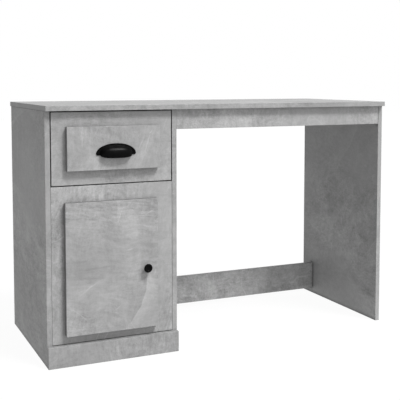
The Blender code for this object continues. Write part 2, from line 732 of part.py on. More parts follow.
def add_knob(door, raised, hinge):
    """The knob on the raised panel, and the screw that comes through the door from inside."""
    mesh = turned_mesh("door_knob", knob_profile())
    foot = at(KNOB_X, PULL_FACE, KNOB_Z)
    add_part("door_knob", mesh, foot, "black_metal", TO_MINUS_Y, hinge, smooth=True)
    drill(door, "door_bore", SCREW_BORE, 2 * BOARD, at(KNOB_X, BOARD, KNOB_Z), TO_MINUS_Y)
    drill(raised, "door_raised_bore", SCREW_BORE, 2 * BOARD, at(KNOB_X, 0, KNOB_Z), TO_MINUS_Y)
    grip = BOARD + 2 * GAP - RAISED_FACE
    mesh = fixing_screw_mesh(grip, KNOB_BORE - 0.002)
    head = at(KNOB_X, BOARD + GAP, KNOB_Z)
    add_part("door_knob_screw", mesh, head, "screw_steel", TO_MINUS_Y, hinge, smooth=True)


def hinge_cup_mesh():
    """The sunk cup of a concealed hinge, open at the top, with the flange that it hangs from."""
    mouth = CUP_RADIUS - CUP_WALL
    floor = CUP_WALL - CUP_DEPTH
    profile = [(0, floor), (mouth, floor), (mouth, SHEET), (CUP_FLANGE_RADIUS, SHEET)]
    profile += [(CUP_FLANGE_RADIUS, 0), (CUP_RADIUS, 0), (CUP_RADIUS, -CUP_DEPTH), (0, -CUP_DEPTH)]
    return turned_mesh("hinge_cup", profile)


def hinge_arm_mesh(plate_face):
    """The arm's bent outline in X and Y, from its back end to the tip that points at the cup."""
    outline = [
        (plate_face, 0.0920),
        (plate_face, 0.0340),
        (0.0235, 0.0185),
        (0.0360, 0.0180),
        (0.0330, 0.0300),
        (0.0275, 0.0420),
        (0.0262, 0.0880),
        (0.0235, 0.0920),
    ]
    return outline_mesh("hinge_arm", outline, ARM_HEIGHT)


def add_hinges(door, hinge):
    """Concealed hinges: the cups ride with the door, the plates and arms stay on the panel."""
    plate_face = BOARD + GAP + PLATE_THICKNESS
    cup = hinge_cup_mesh()
    arm = hinge_arm_mesh(plate_face + GAP)
    for level, height in HINGE_HEIGHTS.items():
        name = f"hinge_cup_{level}"
        back = at(CUP_X, BOARD + GAP, height)
        add_part(name, cup, back, "hinge_steel", TO_PLUS_Y, hinge, smooth=True)
        drill(door, name + "_bore", CUP_BORE_RADIUS, CUP_BORE_DEPTH, at(CUP_X, BOARD, height), TO_MINUS_Y)
        low = at(BOARD + GAP, PLATE_START, height - PLATE_HEIGHT / 2)
        high = at(plate_face, PLATE_START + PLATE_LENGTH, height + PLATE_HEIGHT / 2)
        add_board(f"hinge_plate_{level}", low, high, "hinge_steel")
        arm_part = add_part(f"hinge_arm_{level}", arm, at(0, 0, height), "hinge_steel")
        add_bevel(arm_part, 0.0008)


def build_desk():
    boards = add_carcass_boards()
    add_pedestal_back(boards)
    add_cams(boards)
    slide = add_axis("drawer_slide_axis", at(PEDESTAL_MIDDLE, 0, (DRAWER_BOTTOM + DRAWER_TOP) / 2))
    front, raised = add_drawer_boards(slide)
    add_runners(slide)
    pull = add_pull(slide)
    add_pull_screws(front, raised, pull, slide)
    hinge = add_axis("door_hinge_axis", at(DOOR_LEFT, 0, (DOOR_BOTTOM + DOOR_TOP) / 2))
    door, door_raised = add_door_boards(hinge)
    add_knob(door, door_raised, hinge)
    add_hinges(door, hinge)


build_desk()
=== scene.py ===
import json
import math

import bmesh
import bpy
from mathutils import Matrix, Vector


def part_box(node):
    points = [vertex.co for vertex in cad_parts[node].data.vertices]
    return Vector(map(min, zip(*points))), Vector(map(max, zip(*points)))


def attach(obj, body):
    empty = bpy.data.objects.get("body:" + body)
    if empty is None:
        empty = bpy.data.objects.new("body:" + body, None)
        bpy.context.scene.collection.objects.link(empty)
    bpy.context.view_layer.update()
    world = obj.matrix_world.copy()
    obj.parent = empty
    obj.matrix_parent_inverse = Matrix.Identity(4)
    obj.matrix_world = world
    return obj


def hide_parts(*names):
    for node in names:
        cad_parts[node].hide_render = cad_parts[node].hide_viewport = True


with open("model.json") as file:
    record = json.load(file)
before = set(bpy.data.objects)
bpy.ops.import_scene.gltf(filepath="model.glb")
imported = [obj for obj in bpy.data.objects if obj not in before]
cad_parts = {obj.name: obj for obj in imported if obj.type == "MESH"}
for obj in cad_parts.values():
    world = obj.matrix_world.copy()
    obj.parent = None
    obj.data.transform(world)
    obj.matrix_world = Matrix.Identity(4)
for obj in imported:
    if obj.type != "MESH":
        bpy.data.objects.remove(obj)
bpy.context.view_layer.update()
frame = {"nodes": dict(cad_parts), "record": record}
NODES = frame["nodes"]

FOCAL_RATIO = 2.0225  # focal length over frame width
SHIFT = -0.15775  # in frame widths
YAW = math.radians(24.13)
TILT = math.radians(4.0)
CAMERA_PLACE = (-1.101, -2.4632, 0.821)
SUN_STRENGTH = 4.75
SUN_DIRECTION = Vector((0.66, -1.0, 1.70)).normalized()  # from the desk to the light
SUN_ANGLE = math.radians(17.0)
LEFT_ROOM = 0.075  # the room's light from the left, where the rest gives 1
FRONT_ROOM = 1.40
BACK_ROOM = 0.85
ALBEDO = 0.215  # of the concrete print's middle tone
SIDE_BOARD = 0.02  # a board thinner than this along X stands upright, side on
EDGE_TONE = 1.04  # what the print fades towards on a side board's narrow edges
VEIN_STRENGTH = 0.22
PULL_POWER = 2.8  # how square the pull's dome is: 2 would be an ellipsoid
PULL_RISE = 0.0293  # from the pull's ears to its top
EAR = 0.0047
PLATE = 0.0040
VOXEL = 0.0005
SCREW_HEAD = 0.0028

# The print's larger marks, by board, with painted light on the right side panel; placed_marks says what each
# number is.
MARKS = {
    "door_raised_panel": (
        (0.76, 0.19, 0.0700, 0.0700, -20, 0.070, 0.60),
        (0.67, 0.17, 0.0340, 0.0560, -25, 0.120, 0.10),
        (0.57, 0.13, 0.0030, 0.0300, 18, 0.256, 1.00),
        (0.84, 0.13, 0.0400, 0.0027, 6, 0.320, 1.00),
        (0.92, 0.10, 0.0220, 0.0024, -28, 0.288, 1.00),
        (0.68, 0.38, 0.0140, 0.0033, -8, 0.256, 1.00),
        (0.43, 0.12, 0.0500, 0.0450, 0, -0.070, 0.90),
        (0.16, 0.53, 0.0900, 0.0550, 0, -0.130, 0.90),
        (0.12, 0.44, 0.0700, 0.0060, -4, -0.128, 1.00),
        (0.30, 0.50, 0.0900, 0.0053, -3, -0.144, 1.00),
        (0.18, 0.57, 0.0800, 0.0060, 3, -0.128, 1.00),
        (0.90, 0.36, 0.0300, 0.0300, 0, -0.080, 0.90),
        (0.34, 0.61, 0.0600, 0.0120, -24, 0.100, 0.90),
        (0.26, 0.64, 0.0550, 0.0036, -32, 0.224, 1.00),
        (0.60, 0.70, 0.1200, 0.0700, -20, 0.045, 0.40),
        (0.15, 0.85, 0.0550, 0.0024, 42, 0.240, 1.00),
        (0.30, 0.93, 0.0280, 0.0024, 30, 0.176, 1.00),
        (0.55, 0.82, 0.0200, 0.0033, -35, 0.224, 1.00),
        (0.53, 0.86, 0.0140, 0.0033, 20, 0.208, 1.00),
        (0.97, 0.57, 0.0042, 0.0160, 10, 0.256, 1.00),
        (0.42, 0.90, 0.0600, 0.0220, -10, -0.050, 0.90),
    ),
    "door_panel": (
        (0.46, 0.045, 0.0120, 0.0100, 0, 0.130, 0.90),
        (0.30, 0.040, 0.0030, 0.0160, 0, 0.100, 1.00),
        (0.62, 0.050, 0.0026, 0.0140, 8, 0.100, 1.00),
        (0.20, 0.060, 0.0240, 0.0140, 0, -0.050, 0.90),
        (0.96, 0.300, 0.0060, 0.0900, 0, 0.060, 1.00),
    ),
    "drawer_front_panel": (
        (0.60, 0.080, 0.0900, 0.0140, 0, -0.050, 0.90),
        (0.95, 0.200, 0.0030, 0.0350, 20, 0.130, 1.00),
        (0.50, 0.110, 0.0600, 0.0022, -2, 0.100, 1.00),
        (0.30, 0.930, 0.0500, 0.0060, 0, 0.060, 0.90),
    ),
    "drawer_raised_panel": (
        (0.85, 0.48, 0.0140, 0.0450, 22, 0.095, 0.35),
        (0.80, 0.38, 0.0026, 0.0400, 24, 0.200, 1.00),
        (0.60, 0.20, 0.0500, 0.0160, 0, -0.060, 0.90),
        (0.30, 0.72, 0.0450, 0.0180, -6, 0.060, 0.90),
        (0.72, 0.16, 0.0060, 0.0022, 40, 0.200, 1.00),
        (0.66, 0.30, 0.0040, 0.0030, 0, 0.180, 1.00),
        (0.76, 0.24, 0.0030, 0.0040, 0, 0.180, 1.00),
        (0.86, 0.42, 0.0027, 0.0400, 14, 0.240, 1.00),
        (0.90, 0.15, 0.0120, 0.0030, -40, 0.256, 1.00),
        (0.45, 0.10, 0.1100, 0.0160, 0, -0.060, 0.90),
        (0.80, 0.72, 0.0400, 0.0220, -10, 0.060, 0.90),
        (0.62, 0.25, 0.0027, 0.0260, 4, 0.176, 1.00),
        (0.16, 0.30, 0.0033, 0.0400, 0, 0.144, 1.00),
    ),
    "left_side_panel": (
        (0.20, 0.17, 0.0070, 0.1200, 3, 0.110, 1.00),
        (0.27, 0.30, 0.0060, 0.0900, -4, 0.144, 1.00),
        (0.42, 0.70, 0.0700, 0.1000, 0, 0.060, 0.90),
        (0.66, 0.66, 0.0200, 0.1100, -22, -0.080, 1.00),
        (0.80, 0.36, 0.0800, 0.1600, 0, -0.040, 0.90),
        (0.60, 0.86, 0.0160, 0.0600, -18, -0.070, 1.00),
        (0.12, 0.55, 0.0500, 0.0900, 0, -0.050, 0.90),
    ),
    # On the right side panel, painted light: a broad pale patch over the lower part, lighter towards the floor,
    # with a smaller darker patch in its upper part.
    "right_side_panel": (
        (0.50, 0.66, 0.3000, 0.2200, 0, 0.150, 0.90),
        (0.50, 0.52, 0.1600, 0.0900, 0, -0.050, 0.90),
    ),
    "plinth_board": (
        (0.88, 0.45, 0.0045, 0.0220, 4, 0.192, 1.00),
        (0.52, 0.50, 0.0045, 0.0260, -6, 0.192, 1.00),
        (0.70, 0.55, 0.0240, 0.0200, 0, 0.070, 0.90),
        (0.22, 0.50, 0.0400, 0.0300, 0, -0.040, 0.90),
    ),
}
# The scale of the noises' coordinates along Y, by board: below 1, the print is stretched.
STRETCH = {"left_side_panel": 0.42, "right_side_panel": 0.70, "pedestal_inner_panel": 0.70}
# How bright the painted shade leaves the darkest corner of a board's ledges; every other board has the usual
# value below.
LEDGE_SHADE = {
    "plinth_board": 0.90,
    "rear_stretcher": 0.60,
    "pedestal_bottom_panel": 0.70,
    "drawer_divider_panel": 0.70,
}
USUAL_LEDGE_SHADE = 0.22
# Board, the arc's centre and radius, the middle of the drawn part and how far it reaches, strength.
TROWEL_ARCS = (
    ("door_raised_panel", (-0.487, 0.250), 0.212, (-0.285, 0.170), 0.105, 0.24),
    ("door_raised_panel", (-0.350, 0.420), 0.215, (-0.470, 0.240), 0.060, 0.05),
)

# ---------------------------------------------------------------- camera, light and floor


def add_camera():
    """From the front left, tilted down a little, with a lens shift for the rest of the framing."""
    data = bpy.data.cameras.new("camera")
    camera = bpy.data.objects.new("camera", data)
    bpy.context.scene.collection.objects.link(camera)
    data.sensor_width = 36.0
    data.lens = data.sensor_width * FOCAL_RATIO
    data.shift_y = SHIFT
    data.clip_start = 0.05
    data.clip_end = 60.0
    forward = Vector((math.sin(YAW) * math.cos(TILT), math.cos(YAW) * math.cos(TILT), -math.sin(TILT)))
    camera.location = CAMERA_PLACE
    camera.rotation_euler = forward.to_track_quat("-Z", "Y").to_euler()
    bpy.context.scene.camera = camera


def add_light():
    sun = bpy.data.lights.new("key", "SUN")
    sun.energy = SUN_STRENGTH
    sun.angle = SUN_ANGLE
    key = bpy.data.objects.new("key", sun)
    bpy.context.scene.collection.objects.link(key)
    key.rotation_euler = (-SUN_DIRECTION).to_track_quat("-Z", "Y").to_euler()
    add_studio_world()


def add_studio_world():
    """A white backdrop. The room's light is a little stronger from the front and weak from the left."""
    world = bpy.data.worlds.new("studio")
    bpy.context.scene.world = world
    world.use_nodes = True
    world.node_tree.nodes.clear()
    new, link = world.node_tree.nodes.new, world.node_tree.links.new
    room = new("ShaderNodeBackground")
    link(room_strength(new, link), room.inputs["Strength"])
    backdrop = new("ShaderNodeBackground")
    backdrop.inputs["Strength"].default_value = 1.0
    for shader in (room, backdrop):
        shader.inputs["Color"].default_value = (1.0, 1.0, 1.0, 1.0)
    mix = new("ShaderNodeMixShader")
    link(new("ShaderNodeLightPath").outputs["Is Camera Ray"], mix.inputs["Fac"])
    link(room.outputs[0], mix.inputs[1])
    link(backdrop.outputs[0], mix.inputs[2])
    link(mix.outputs[0], new("ShaderNodeOutputWorld").inputs["Surface"])


def room_strength(new, link):
    """The room's light by direction: one ramp from left to right, times one from front to back."""
    split = new("ShaderNodeSeparateXYZ")
    link(new("ShaderNodeTexCoord").outputs["Generated"], split.inputs[0])
    factors = []
    sides = (("X", -1.0, 0.3, LEFT_ROOM, 1.0), ("Y", -1.0, 1.0, FRONT_ROOM, BACK_ROOM))
    for axis, low, high, to_low, to_high in sides:
        ramp = new("ShaderNodeMapRange")
        link(split.outputs[axis], ramp.inputs["Value"])
        for key, value in (("From Min", low), ("From Max", high), ("To Min", to_low), ("To Max", to_high)):
            ramp.inputs[key].default_value = value
        factors.append(ramp.outputs["Result"])
    product = new("ShaderNodeMath")
    product.operation = "MULTIPLY"
    for factor, socket in zip(factors, product.inputs):
        link(factor, socket)
    return product.outputs[0]


# ---------------------------------------------------------------- node helpers


class Tree:
    """A material's node tree, with a Principled shader."""

    def __init__(self, name):
        self.material = bpy.data.materials.new(name)
        self.material.use_nodes = True
        self.tree = self.material.node_tree
        self.shader = self.tree.nodes["Principled BSDF"]
        self.coords = self.tree.nodes.new("ShaderNodeTexCoord").outputs["Object"]

    def node(self, kind, inputs=None, **settings):
        made = self.tree.nodes.new(kind)
        for key, value in settings.items():
            setattr(made, key, value)
        for key, value in (inputs or {}).items():
            self.put(made.inputs[key], value)
        return made

    def put(self, socket, value):
        if isinstance(value, bpy.types.NodeSocket):
            self.tree.links.new(value, socket)
        else:
            socket.default_value = value

    def set(self, **values):
        """Shader sockets, with spaces written as underscores."""
        for key, value in values.items():
            self.put(self.shader.inputs[key.replace("_", " ")], value)

    def math(self, operation, *values):
        made = self.node("ShaderNodeMath", operation=operation)
        for socket, value in zip(made.inputs, values):
            self.put(socket, value)
        return made.outputs[0]

    def placed(self, location=(0, 0, 0), turn=(0, 0, 0), scale=(1, 1, 1), vector=None):
        inputs = {"Vector": vector or self.coords, "Location": location, "Rotation": turn, "Scale": scale}
        return self.node("ShaderNodeMapping", inputs).outputs["Vector"]

    def wobbled(self, vector, scale, amount):
        """The coordinates pushed about by a noise, at most about half of amount."""
        warp = self.noise(vector, scale, 3.0, 0.55).outputs["Color"]
        inputs = {0: warp, 1: (0.5, 0.5, 0.5)}
        centred = self.node("ShaderNodeVectorMath", inputs, operation="SUBTRACT").outputs[0]
        pushed = self.node("ShaderNodeVectorMath", {0: centred, "Scale": amount}, operation="SCALE").outputs[0]
        return self.node("ShaderNodeVectorMath", {0: vector, 1: pushed}, operation="ADD").outputs[0]

    def noise(self, vector, scale, detail=2.0, roughness=0.5, distortion=0.0):
        inputs = {"Vector": vector, "Scale": scale, "Detail": detail, "Roughness": roughness}
        return self.node("ShaderNodeTexNoise", {**inputs, "Distortion": distortion})

    def fac(self, *settings):
        """A noise's grey value."""
        return self.noise(*settings).outputs["Fac"]

    def openness(self, distance):
        """1 in the open and less in a corner, looking this far."""
        return self.node("ShaderNodeAmbientOcclusion", {"Distance": distance}, samples=8).outputs["AO"]

    def normal_axes(self):
        """The surface normal's X, Y and Z, along the object's own axes."""
        normal = self.node("ShaderNodeTexCoord").outputs["Normal"]
        return self.node("ShaderNodeSeparateXYZ", {0: normal}).outputs

    def remap(self, value, low, high, to_low=0.0, to_high=1.0, smooth=True):
        inputs = {"Value": value, "From Min": low, "From Max": high, "To Min": to_low, "To Max": to_high}
        kind = "SMOOTHSTEP" if smooth else "LINEAR"
        made = self.node("ShaderNodeMapRange", inputs, interpolation_type=kind, clamp=True)
        return made.outputs["Result"]

    def blended(self, first, second, factor):
        made = self.node("ShaderNodeMix", data_type="FLOAT")
        for index, value in ((0, factor), (2, first), (3, second)):
            self.put(made.inputs[index], value)
        return made.outputs[0]

    def grey(self, value, tint=(1.0, 1.0, 1.0)):
        """A value as a colour, times a tint."""
        made = self.node("ShaderNodeMix", data_type="RGBA", blend_type="MULTIPLY")
        for index, part in ((0, 1.0), (6, (*tint, 1.0)), (7, value)):
            self.put(made.inputs[index], part)
        return made.outputs[2]

    def bump(self, height, strength, distance):
        inputs = {"Height": height, "Strength": strength, "Distance": distance}
        return self.node("ShaderNodeBump", inputs).outputs["Normal"]


# ---------------------------------------------------------------- materials


def concrete(node, offset, turn, gain, streaks, shade):
    """Melamine printed as mottled concrete: clouds, patches, brushed streaks, trowel arcs and thin veins, with
    worn edges, painted shade in inside corners and a per-board brightness that is partly painted light.
    """
    t = Tree(node + "_concrete")
    base = t.placed(offset, turn, (1.0, STRETCH.get(node, 1.0), 1.0))
    warped = t.wobbled(base, 2.6, 0.16)
    cement = t.fac(warped, 12.0, 8.0, 0.92)
    pores = t.fac(base, 130.0, 3.0, 0.9)
    tone = mottling(t, warped, cement, pores, gain, streaks)
    tone = veins(t, tone, base, warped, gain)
    tone = calm_edges(t, placed_marks(t, tone, node), node)
    worn = worn_edges(t)
    # Painted shade: inside corners are darkened, most on the ledges, by ambient occlusion.
    corner_shade = painted_corner_shade(t, LEDGE_SHADE.get(node, USUAL_LEDGE_SHADE))
    tone = t.math("MULTIPLY", t.math("MULTIPLY_ADD", worn, 0.16, tone), corner_shade)
    rough = t.remap(cement, 0.4, 0.6, 0.46, 0.60)
    # shade, the board's brightness, is partly print tone and partly painted light and shade.
    t.set(Base_Color=t.grey(tone, (ALBEDO * shade,) * 3), Specular_IOR_Level=0.35)
    t.set(Roughness=t.math("MULTIPLY_ADD", worn, 0.08, rough))
    t.set(Normal=t.bump(t.math("MULTIPLY_ADD", pores, 0.5, cement), 0.12, 0.0004))
    return t.material


def mottling(t, warped, cement, pores, gain, streaks):
    """The print's broad tone, about 1: clouds, cement, pores, and two sets of brushed streaks."""
    clouds = t.fac(warped, 3.6, 3.0, 0.55)
    brushed = t.fac(t.placed(scale=(16.0, 16.0, 90.0), vector=warped), 1.0, 5.0, 0.85)
    smears = t.fac(t.placed(scale=(70.0, 70.0, 10.0), vector=warped), 1.0, 4.0, 0.80)
    layers = ((clouds, 0.45), (cement, 1.70), (pores, 0.42), (brushed, 0.65 * streaks), (smears, 0.30 * streaks))
    field = 0.0
    for layer, weight in layers:
        field = t.math("MULTIPLY_ADD", layer, weight * gain, field)
    middle = 0.5 * gain * sum(weight for _, weight in layers)
    calm = t.remap(t.fac(warped, 2.9, 1.0, 0.4), 0.38, 0.62, 0.55, 1.30)
    depth = t.math("MULTIPLY", t.math("SUBTRACT", field, middle), calm)
    return t.remap(depth, -0.45, 0.45, 0.55, 1.45, smooth=False)


def veins(t, tone, base, warped, gain):
    """Adds thin pale veins and scratches in patches, and the pressed arcs of a trowel."""
    nets = ((3.1, 2.0, 0.50, 0.0045, 0.50, 5.0), (7.5, 3.0, 0.52, 0.006, 0.54, 8.0))
    for scale, detail, level, width, low, patch in nets:
        lines = t.fac(warped, scale, detail, 0.47, 0.7)
        drawn = t.remap(t.math("ABSOLUTE", t.math("SUBTRACT", lines, level)), 0.0, width, 1.0, 0.0)
        where = t.remap(t.fac(base, patch, 2.0, 0.5), low, low + 0.15)
        tone = t.math("MULTIPLY_ADD", t.math("MULTIPLY", drawn, where), VEIN_STRENGTH * gain, tone)
    sweep = t.math("FRACT", t.math("MULTIPLY", t.fac(warped, 1.7, 1.0, 0.3), 9.0))
    pressed = t.remap(t.fac(base, 4.1, 1.0, 0.5), 0.50, 0.62)
    trowel = t.math("MULTIPLY", t.math("POWER", sweep, 5.0), pressed)
    return t.math("MULTIPLY_ADD", trowel, 0.10 * gain, tone)


def placed_marks(t, tone, node):
    """The larger marks of the print, and painted light on the right side panel, each an ellipse (u, v, half
    length, half width, turn, strength, edge).

    u and v run from the board's top left corner, seen along +Y or +X. turn is clockwise, and edge is how
    much of the ellipse fades out.
    """
    low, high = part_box(node)
    side_on = high.x - low.x < SIDE_BOARD
    across = 1 if side_on else 0
    shaken = t.wobbled(t.coords, 24.0, 0.014)
    for u, v, length, width, turn, strength, edge in MARKS.get(node, ()):
        centre = [0.0, 0.0, high.z + (low.z - high.z) * v]
        centre[across] = low[across] + (high[across] - low[across]) * (1 - u if side_on else u)
        scale = [100.0, 100.0, width]
        scale[across] = length
        rotation = [0.0, 0.0, 0.0]
        rotation[1 - across] = math.radians(turn)
        inputs = {"Vector": shaken, "Location": centre, "Rotation": rotation, "Scale": scale}
        inside = t.node("ShaderNodeMapping", inputs, vector_type="TEXTURE").outputs["Vector"]
        blob = t.node("ShaderNodeTexGradient", {"Vector": inside}, gradient_type="SPHERICAL").outputs["Fac"]
        tone = t.math("MULTIPLY_ADD", t.remap(blob, 0.0, edge), strength, tone)
    for node_name, centre, radius, middle, reach, strength in TROWEL_ARCS:
        if node_name == node:
            tone = trowel_arc(t, tone, shaken, centre, radius, middle, reach, strength)
    return tone


def calm_edges(t, tone, node):
    """Halves the print's contrast on the narrow edges of an upright side board."""
    low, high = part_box(node)
    if high.x - low.x > SIDE_BOARD:
        return tone
    axes = t.normal_axes()
    return t.blended(EDGE_TONE, tone, t.remap(t.math("ABSOLUTE", axes["X"]), 0.6, 0.9, 0.5, 1.0))


def trowel_arc(t, tone, shaken, centre, radius, middle, reach, strength):
    """A pressed arc on a front: a crisp pale edge that fades outwards, and a darker band inside it."""
    flat = t.node("ShaderNodeVectorMath", {0: shaken, 1: (1.0, 0.0, 1.0)}, operation="MULTIPLY").outputs[0]
    away = {0: flat, 1: (centre[0], 0.0, centre[1])}
    distance = t.node("ShaderNodeVectorMath", away, operation="DISTANCE").outputs["Value"]
    near = {0: flat, 1: (middle[0], 0.0, middle[1])}
    part = t.node("ShaderNodeVectorMath", near, operation="DISTANCE").outputs["Value"]
    sector = t.remap(part, reach * 0.5, reach, strength, 0.0)
    edge = t.remap(distance, radius - 0.0012, radius, 0.0, 1.0, smooth=False)
    outside = t.math("MULTIPLY", edge, t.remap(distance, radius, radius + 0.05, 1.0, 0.25))
    inside = t.remap(distance, radius - 0.03, radius - 0.001, 0.0, -0.35)
    inside = t.math("MULTIPLY", t.math("SUBTRACT", 1.0, edge), inside)
    return t.math("MULTIPLY_ADD", t.math("ADD", outside, inside), sector, tone)


def worn_edges(t):
    """1 on patches of a board's rounded edges, where no normal lies along an axis, and 0 elsewhere."""
    axes = t.normal_axes()
    most = t.math("MAXIMUM", t.math("ABSOLUTE", axes["X"]), t.math("ABSOLUTE", axes["Y"]))
    most = t.math("MAXIMUM", most, t.math("ABSOLUTE", axes["Z"]))
    rubbed = t.remap(t.fac(t.coords, 28.0, 4.0, 0.7), 0.42, 0.62)
    return t.math("MULTIPLY", t.remap(most, 0.93, 0.995, 1.0, 0.0), rubbed)


def painted_corner_shade(t, on_ledge):
    """Painted shade in inside corners, found by ambient occlusion: on ledges down to on_ledge, strongly on side
    faces, lightly on fronts.
    """
    close = t.openness(0.014)
    wide = t.openness(0.034)
    axes = t.normal_axes()
    side = t.remap(close, 0.45, 1.0, 0.36, 1.0, smooth=False)
    ledge = t.remap(wide, 0.45, 1.0, on_ledge, 1.0, smooth=False)
    front = t.remap(close, 0.45, 0.95, 0.95, 1.0, smooth=False)
    corner_shade = t.blended(side, ledge, t.remap(axes["Z"], 0.6, 0.9))
    return t.blended(corner_shade, front, t.remap(t.math("ABSOLUTE", axes["Y"]), 0.6, 0.9))


def black_lacquer(name):
    """Satin black on a casting: faint cloudiness, fine orange peel and duller patches."""
    t = Tree(name)
    cloud = t.fac(t.coords, 60.0, 4.0, 0.6)
    peel = t.fac(t.coords, 1500.0, 2.0, 0.5)
    t.set(Base_Color=t.grey(t.remap(cloud, 0.3, 0.7, 0.0012, 0.0028)))
    t.set(Roughness=t.remap(cloud, 0.3, 0.7, 0.28, 0.37), IOR=1.115, Metallic=0.0)
    t.set(Normal=t.bump(peel, 0.10, 0.0002))
    return t.material


def plated(name, tint=(0.60, 0.60, 0.60), rough=0.28):
    """Nickel or zinc plate: drawn lines, cloudy reflection and a few dull spots."""
    t = Tree(name)
    drawn = t.fac(t.placed(scale=(40.0, 40.0, 900.0)), 1.0, 3.0, 0.6)
    cloud = t.fac(t.coords, 90.0, 4.0, 0.6)
    t.set(Base_Color=t.grey(t.remap(cloud, 0.3, 0.7, 0.82, 1.05), tint), Metallic=1.0)
    t.set(Roughness=t.remap(drawn, 0.3, 0.7, rough - 0.07, rough + 0.10))
    t.set(Normal=t.bump(drawn, 0.06, 0.0002))
    return t.material


def coated(name, tint=(0.74, 0.74, 0.72), rough=0.42):
    """Powder coat on sheet steel: orange peel, a little grey dust in patches, and painted shade in its corners.
    """
    t = Tree(name)
    dust = t.fac(t.coords, 24.0, 5.0, 0.7)
    peel = t.fac(t.coords, 900.0, 2.0, 0.5)
    # Painted shade: the coat darkens towards inside corners, found by ambient occlusion.
    close = t.openness(0.006)
    tone = t.math("MULTIPLY", t.remap(dust, 0.3, 0.7, 0.90, 1.03), t.remap(close, 0.3, 1.0, 0.6, 1.0))
    t.set(Base_Color=t.grey(tone, tint), Roughness=t.remap(dust, 0.3, 0.7, rough - 0.06, rough + 0.10))
    t.set(Normal=t.bump(peel, 0.12, 0.0003))
    return t.material


def nylon(name, tint=(0.78, 0.78, 0.75)):
    """Moulded plastic: flow clouds and fine spark texture."""
    t = Tree(name)
    flow = t.fac(t.placed(scale=(1.0, 1.0, 3.0)), 130.0, 3.0, 0.6)
    spark = t.fac(t.coords, 2600.0, 1.0, 0.5)
    t.set(Base_Color=t.grey(t.remap(flow, 0.3, 0.7, 0.93, 1.02), tint))
    t.set(Roughness=t.remap(flow, 0.3, 0.7, 0.36, 0.5))
    t.set(Normal=t.bump(spark, 0.10, 0.0001))
    return t.material


def foil(name, tint=(0.40, 0.40, 0.395)):
    """Plain light grey foil on chipboard: a fine linen emboss, and painted shade in its corners."""
    t = Tree(name)
    cloud = t.fac(t.coords, 7.0, 5.0, 0.7)
    linen = t.fac(t.placed(scale=(30.0, 30.0, 700.0)), 1.0, 3.0, 0.6)
    # Painted shade: the foil darkens towards inside corners, found by ambient occlusion.
    close = t.openness(0.012)
    tone = t.math("MULTIPLY", t.remap(cloud, 0.3, 0.7, 0.94, 1.05), t.remap(linen, 0.2, 0.8, 0.96, 1.04))
    tone = t.math("MULTIPLY", tone, t.remap(close, 0.4, 1.0, 0.6, 1.0))
    t.set(Base_Color=t.grey(tone, tint), Roughness=t.remap(cloud, 0.3, 0.7, 0.48, 0.60))
    t.set(Normal=t.bump(linen, 0.15, 0.0003))
    return t.material


def hardboard(name, tint=(0.36, 0.355, 0.345)):
    """Thin lacquered hardboard: short crossing fibres and speckle."""
    t = Tree(name)
    fibre = t.fac(t.coords, 160.0, 5.0, 0.8, 1.5)
    cloud = t.fac(t.coords, 9.0, 4.0, 0.6)
    tone = t.math("MULTIPLY", t.remap(fibre, 0.35, 0.65, 0.90, 1.06), t.remap(cloud, 0.3, 0.7, 0.95, 1.04))
    t.set(Base_Color=t.grey(tone, tint), Roughness=t.remap(fibre, 0.3, 0.7, 0.62, 0.78))
    t.set(Normal=t.bump(fibre, 0.20, 0.0003))
    return t.material


def paint_boards():
    """Every concrete board has its own piece of the print; side panels' prints run upright."""
    # shade, the last column, is a brightness per board: partly the print's own tone and partly painted light and
    # shade, lighter on the boards under the top and darker on the left side and the plinth.
    boards = {  # offset, turn, gain, streaks, shade
        "tabletop": ((0.31, 0.72, 0.15), (90, 0, 0), 0.9, 1.0, 1.01),
        "left_side_panel": ((1.37, 0.22, 0.55), (0, 90, 0), 1.6, 0.8, 0.965),
        "pedestal_inner_panel": ((2.11, 1.32, 0.35), (0, 90, 0), 1.3, 1.2, 1.02),
        "right_side_panel": ((0.67, 2.42, 1.15), (0, 90, 0), 1.05, 1.2, 1.07),
        "plinth_board": ((2.73, 0.55, 1.21), (0, 90, 0), 0.85, 1.5, 0.925),
        "pedestal_bottom_panel": ((3.31, 0.52, 0.25), (0, 0, 0), 1.0, 1.0, 1.0),
        "drawer_divider_panel": ((2.81, 0.92, 0.75), (0, 0, 0), 1.0, 1.0, 1.0),
        "front_apron": ((0.41, 1.77, 0.65), (0, 90, 0), 1.0, 1.0, 1.12),
        "rear_stretcher": ((1.51, 1.07, 2.05), (0, 0, 0), 1.2, 1.0, 1.18),
        "drawer_front_panel": ((2.31, 0.37, 1.35), (0, 0, 0), 1.0, 1.0, 1.09),
        "drawer_raised_panel": ((1.11, 3.07, 0.95), (0, 80, 0), 1.0, 1.3, 1.02),
        "door_panel": ((0.91, 0.67, 2.75), (0, 80, 0), 1.0, 1.3, 1.09),
        "door_raised_panel": ((1.71, 1.57, 0.05), (0, -8, 0), 0.78, 2.0, 1.0),
    }
    for node, (offset, turn, gain, streaks, shade) in boards.items():
        repaint(node, concrete(node, offset, tuple(map(math.radians, turn)), gain, streaks, shade))


def paint_fittings():
    looks = {
        "black_metal": black_lacquer,
        "hinge_steel": plated,
        "runner_steel": coated,
        "roller_plastic": nylon,
        "zinc_alloy": lambda name: plated(name, (0.50, 0.50, 0.51), 0.42),
        "screw_steel": lambda name: plated(name, (0.62, 0.60, 0.55), 0.33),
        "hardboard": hardboard,
        "drawer_box_board": foil,
    }
    made = {slot: look(slot) for slot, look in looks.items()}
    for row in frame["record"]["subparts"]:
        if row["material_slot"] in made:
            repaint(row["node"], made[row["material_slot"]])
    return made


def repaint(node, material):
    for slot in NODES[node].material_slots:
        slot.material = material


# ---------------------------------------------------------------- finer pieces


def arc(centre, radius, start, end, steps):
    """Points along a circle, in degrees, from start to end."""
    turns = [math.radians(start + (end - start) * i / steps) for i in range(steps + 1)]
    return [(centre[0] + radius * math.cos(a), centre[1] + radius * math.sin(a)) for a in turns]


